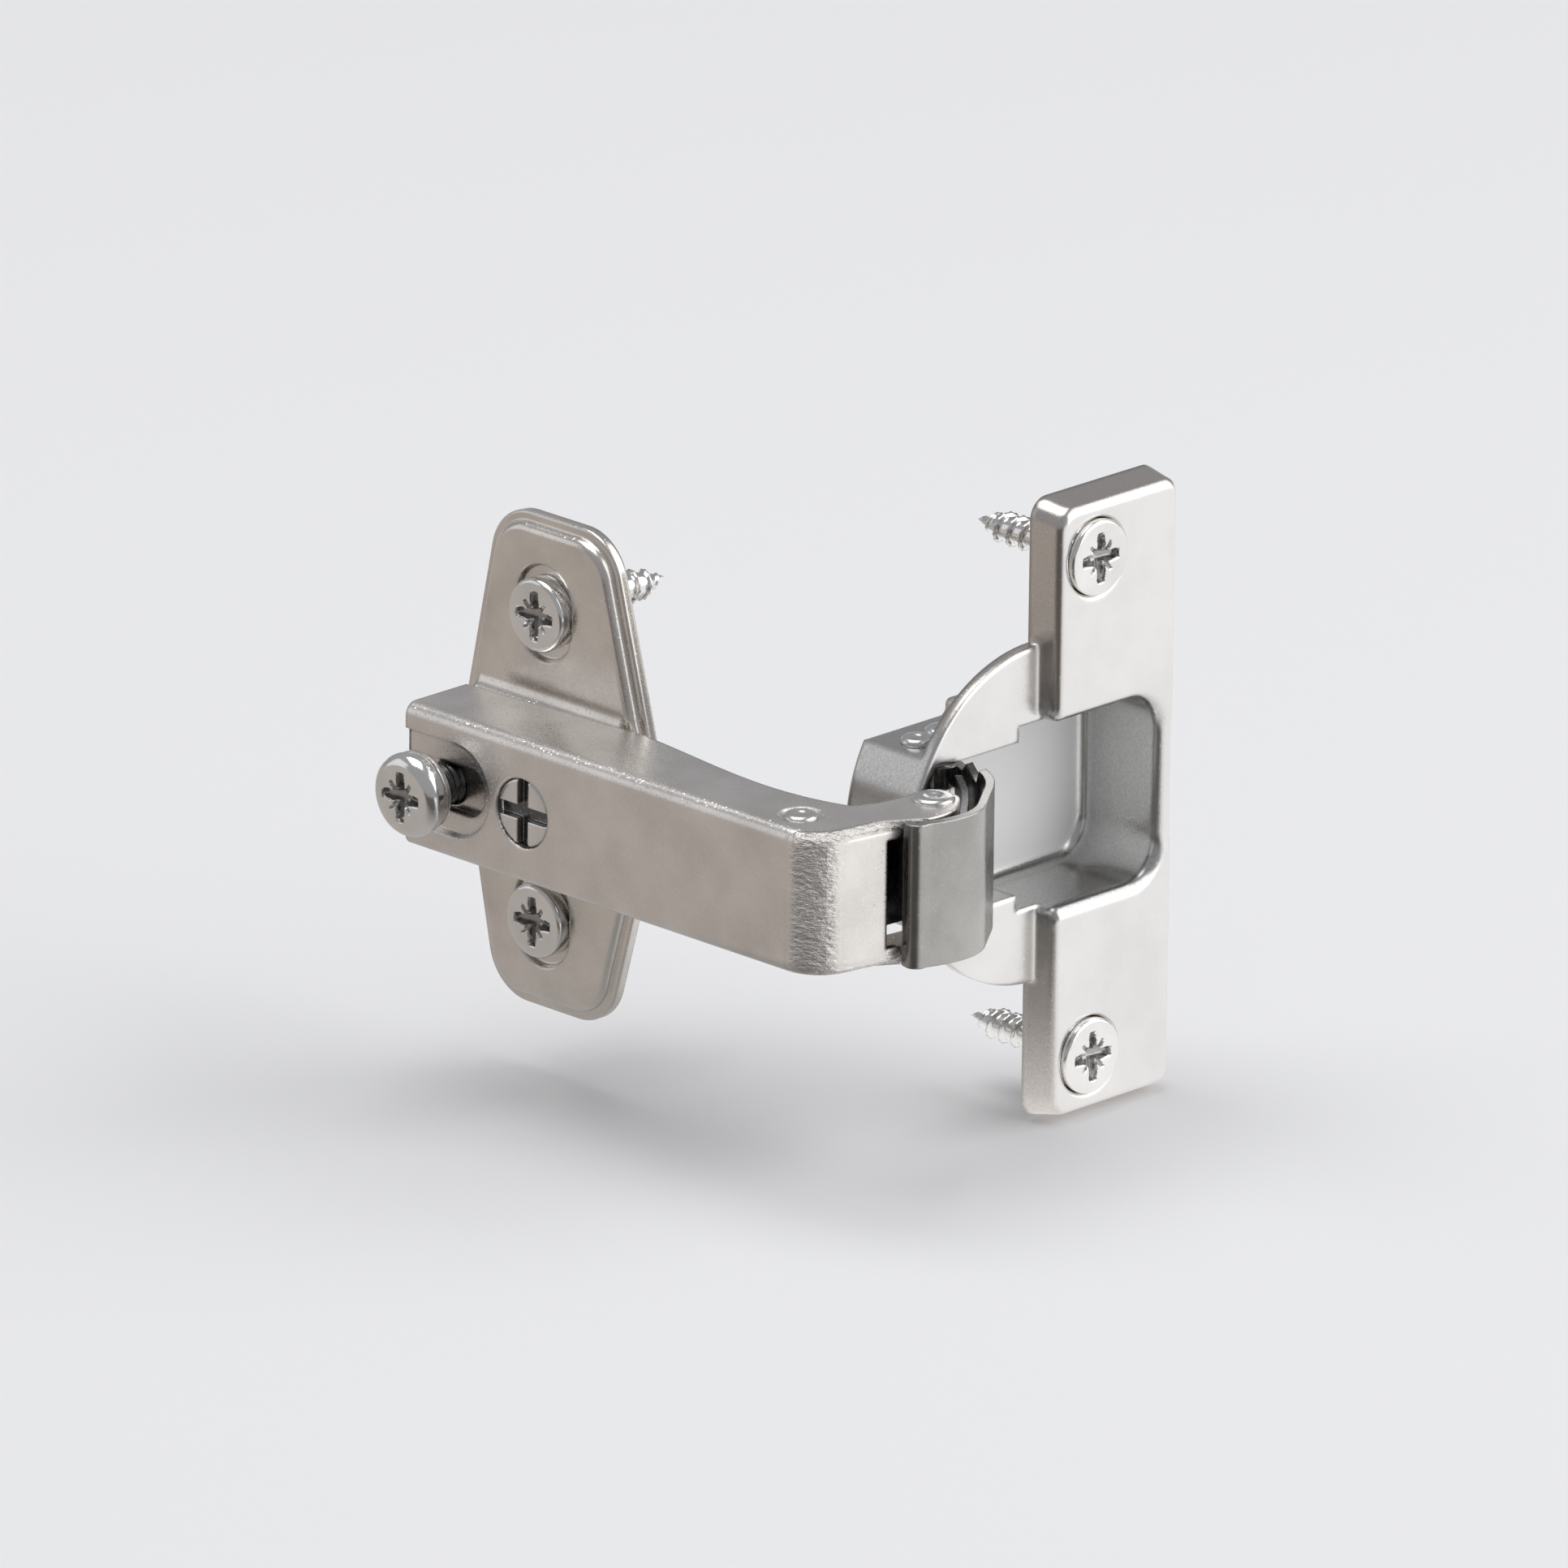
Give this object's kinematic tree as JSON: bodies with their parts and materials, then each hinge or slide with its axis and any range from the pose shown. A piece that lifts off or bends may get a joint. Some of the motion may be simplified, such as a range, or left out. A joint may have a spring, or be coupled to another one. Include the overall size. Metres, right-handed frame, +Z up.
{
  "type": "concealed hinge",
  "caption": "Concealed cabinet hinge for a door beside a blind panel, shown open: slotted mounting plate, folded arm, two links and a drawn cup with a screw flange.",
  "frame": {"origin": "middle of the mounting plate's two screws, on the panel's face", "axes": "+X along the arm towards the door, +Y into the panel, +Z up along the hinge's pins"},
  "size_m": [0.0669, 0.0599, 0.0646],
  "materials": {
    "arm_nickel": "fine-grained nickel plating, warm grey",
    "cup_nickel": "bright satin nickel plating",
    "pin_steel": "turned, nickel plated",
    "spring_steel": "rolled spring steel",
    "screw_zinc": "bright zinc plating"
  },
  "bodies": {
    "plate": {"mounting_plate": "arm_nickel", "plate_screw_upper": "screw_zinc", "plate_screw_lower": "screw_zinc"},
    "clamp": {"clamp_screw": "screw_zinc"},
    "arm": {"hinge_arm": "arm_nickel", "arm_pin_rear": "pin_steel", "arm_pin_front": "pin_steel"},
    "side_adjuster": {"side_screw": "screw_zinc"},
    "outer_link": {"outer_link": "arm_nickel", "closing_spring": "spring_steel"},
    "cup": {"hinge_cup": "cup_nickel", "cup_pin_inner": "pin_steel", "cup_pin_outer": "pin_steel", "cup_screw_upper": "screw_zinc", "cup_screw_lower": "screw_zinc"},
    "inner_link": {"inner_link": "arm_nickel"}
  },
  "joints": [
    {"name": "depth_adjust", "type": "slide", "parent": "plate", "child": "arm", "axis": [1, 0, 0], "range_m": [-0.0033, 0.0015]},
    {"name": "clamp_screw_turn", "type": "hinge", "parent": "plate", "child": "clamp", "pos_m": [-0.003, -0.015, 0], "axis": [0, -1, 0], "range_deg": [0, 540]},
    {"name": "side_screw_turn", "type": "hinge", "parent": "arm", "child": "side_adjuster", "pos_m": [0.00865, -0.013, 0], "axis": [0, -1, 0], "range_deg": [-360, 360]},
    {"name": "outer_link_fold", "type": "hinge", "parent": "arm", "child": "outer_link", "pos_m": [0.0486, 0.00345, 0], "axis": [0, 0, 1], "range_deg": [0, 32.35]},
    {"name": "cup_fold", "type": "hinge", "parent": "outer_link", "child": "cup", "pos_m": [0.0382, 0.0152, 0], "axis": [0, 0, 1], "range_deg": [-122.34, 0]},
    {"name": "inner_link_fold", "type": "hinge", "parent": "cup", "child": "inner_link", "pos_m": [0.0386, 0.0114, 0], "axis": [0, 0, 1], "range_deg": [0, 116.46]}
  ],
  "couplings": [
    {"joint": "outer_link_fold", "follows": "cup_fold", "ratio": -0.26434},
    {"joint": "inner_link_fold", "follows": "cup_fold", "ratio": -0.95186}
  ]
}
